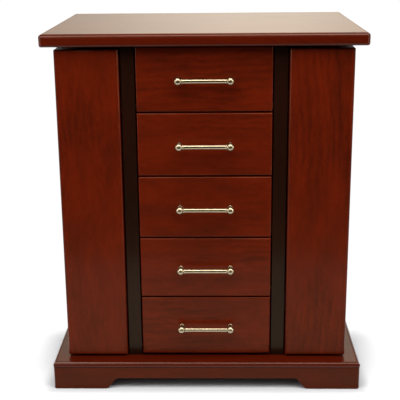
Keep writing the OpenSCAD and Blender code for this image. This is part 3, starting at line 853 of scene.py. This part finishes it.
# How far the belly stands out, as a share of the pocket's depth, at these shares of its height
BELLY_AT = (0.0, 0.10, 0.25, 0.45, 0.70, 0.90, 1.0)
BELLY_OUT = (0.10, 0.46, 0.74, 0.84, 0.70, 0.52, 0.55)
TACKED = 0.10              # the same share at the tacked sides
FOLD_DEPTH = 2.1 * MM
FOLD_SLIDE = 0.8 * MM      # how far a fold leans over sideways


def pocket(side, sign):
    """A gathered pocket on one door. up and along run from 0 to 1 over its height and its width."""
    low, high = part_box(f"{side}_door_pouch")
    inner = high.x if sign > 0 else low.x
    reach = high.x - low.x
    wide, tall = high.y - low.y, high.z - low.z
    own = 3.0 if sign > 0 else 8.0
    mesh = bmesh.new()
    net = []
    for row in range(POCKET_ROWS + 1):
        up = row / POCKET_ROWS
        gather = 0.40 + 0.60 * up ** 1.3 + 0.20 * (1 - up) ** 4
        belly = float(np.interp(up, BELLY_AT, BELLY_OUT))
        line = []
        for column in range(POCKET_COLUMNS + 1):
            along = column / POCKET_COLUMNS
            edge = min(1.0, 9 * along, 9 * (1 - along))
            stray = 1.1 * noise.noise(Vector((along * 5, own, up * 0.7)))
            turn = 2 * math.pi * (along * FOLDS + stray)
            size = 0.85 + 0.75 * noise.noise(Vector((along * 7, own + 4, up * 1.2)))
            fold = size * math.sin(turn) + 0.30 * up * math.sin(2.3 * turn + own)
            slump = 0.10 * noise.noise(Vector((along * 3, up * 2, own)))
            depth = reach * (TACKED + (belly + slump - TACKED) * edge ** 0.5)
            depth += FOLD_DEPTH * fold * gather * edge * min(1.0, 12 * up)
            depth = min(max(depth, 0.5 * MM), reach - 0.6 * MM)
            slide = FOLD_SLIDE * math.cos(turn) * gather * edge
            y = low.y + 0.6 * MM + (wide - 1.2 * MM) * along + slide
            y = min(max(y, low.y + 0.3 * MM), high.y - 0.3 * MM)
            droop = 1.6 * MM * math.sin(math.pi * along) * up ** 2 + 0.5 * MM * fold * up ** 3
            z = low.z + 0.4 * MM + (tall - 2.2 * MM) * up - droop
            line.append(mesh.verts.new((inner - sign * depth, y, min(z, high.z - 0.3 * MM))))
        net.append(line)
    for under, over in zip(net, net[1:]):
        for column in range(POCKET_COLUMNS):
            mesh.faces.new((under[column], under[column + 1], over[column + 1], over[column]))
    door = f"{side}_door"
    piece = new_piece(f"{door}_pocket", mesh, sateen, door, "pouch_fabric", f"{door}_pouch")
    thick = piece.modifiers.new("cloth thickness", "SOLIDIFY")
    thick.thickness = 0.4 * MM
    thick.offset = 0
    return piece


print("a pocket has", POCKET_ROWS * POCKET_COLUMNS, "faces in", FOLDS, "folds")

# %% [markdown]
# The hem is a tube round the elastic. It follows the top of the pocket's own net, so it ruffles with the
# same folds.

# %% The hem
HEM_SIDES = 10
HEM_THICK, HEM_TALL = 0.95 * MM, 2.5 * MM      # half of each


def pocket_points(piece):
    """The points of a pocket's net, by row and by column."""
    return np.array([v.co for v in piece.data.vertices]).reshape(-1, POCKET_COLUMNS + 1, 3)


def hem(side):
    """The pocket's top hem: a ruffled tube round the elastic."""
    points = pocket_points(bpy.data.objects[f"{side}_door_pocket"])
    mesh = bmesh.new()
    rings = []
    for column in range(POCKET_COLUMNS + 1):
        heart = points[-1, column] * 0.5 + points[-3, column] * 0.5
        pinch = 0.85 + 0.15 * math.sin(column * 0.9)
        ring = []
        for step in range(HEM_SIDES):
            angle = 2 * math.pi * step / HEM_SIDES
            x = heart[0] + HEM_THICK * pinch * math.cos(angle)
            z = heart[2] + HEM_TALL * math.sin(angle)
            ring.append(mesh.verts.new((x, heart[1], z)))
        rings.append(ring)
    for first, second in zip(rings, rings[1:]):
        for step in range(HEM_SIDES):
            follow = (step + 1) % HEM_SIDES
            mesh.faces.new((first[step], first[follow], second[follow], second[step]))
    mesh.faces.new(rings[0])
    mesh.faces.new(rings[-1])
    door = f"{side}_door"
    return new_piece(f"{door}_pocket_hem", mesh, sateen, door, "pouch_fabric", f"{door}_pouch")


def cloth_length(piece):
    """The length of the longest row of a pocket's net, along its folds."""
    rows = pocket_points(piece)[1:]
    return max(float(np.linalg.norm(np.diff(row, axis=0), axis=1).sum()) for row in rows)


for side, sign in (("left", -1), ("right", 1)):
    piece = pocket(side, sign)
    rim = hem(side)
    print(piece.name, "longest row of cloth", round(cloth_length(piece) / MM), "mm")

# %% [markdown]
# ## Felt
# Four thin felt pads keep the feet from scratching, and two small dots stop the lid from knocking.
# Punched felt has a straight side with a slightly fuzzy, rounded rim, and a face that is never even.

# %% Felt pads
DISC_SIDES = 40
FUZZ = 0.008               # how far the rim wanders, as a share of the radius


def felt_disc(mesh, low, high, seed):
    """Adds one punched felt disc to a bmesh, laid into its box."""
    centre = (low + high) / 2
    radius = (high[0] - low[0]) / 2
    bottom, top = low[2], high[2]
    round_off = min(0.3 * (top - bottom), 0.25 * MM)
    # Half of the disc's outline, as distances from the middle and heights
    profile = [
        (0.0, bottom), (radius * 0.35, bottom), (radius * 0.7, bottom), (radius - round_off, bottom),
        (radius, bottom + round_off), (radius, top - round_off),
        (radius - round_off, top), (radius * 0.7, top), (radius * 0.35, top), (0.0, top),
    ]
    rings = []
    for distance, z in profile:
        if distance == 0:
            rings.append([mesh.verts.new((centre[0], centre[1], z))])
            continue
        ring = []
        for step in range(DISC_SIDES):
            angle = 2 * math.pi * step / DISC_SIDES
            wander = noise.noise(Vector((math.cos(angle) * 9, math.sin(angle) * 9, seed)))
            away = distance * (1 - FUZZ * (1 + wander))
            x, y = centre[0] + away * math.cos(angle), centre[1] + away * math.sin(angle)
            ring.append(mesh.verts.new((x, y, z)))
        rings.append(ring)
    for first, second in zip(rings, rings[1:]):
        for step in range(DISC_SIDES):
            follow = (step + 1) % DISC_SIDES
            if len(first) == 1:
                mesh.faces.new((first[0], second[step], second[follow]))
            elif len(second) == 1:
                mesh.faces.new((first[step], first[follow], second[0]))
            else:
                mesh.faces.new((first[step], first[follow], second[follow], second[step]))


felt_mesh = bmesh.new()
for index, (low, high) in enumerate(slabs("felt_pads")):
    felt_disc(felt_mesh, low, high, index * 3.7)
pads = new_piece("felt_discs", felt_mesh, dark_felt, "case", "felt", "felt_pads")
print("felt pads", len(pads.data.vertices), "points")
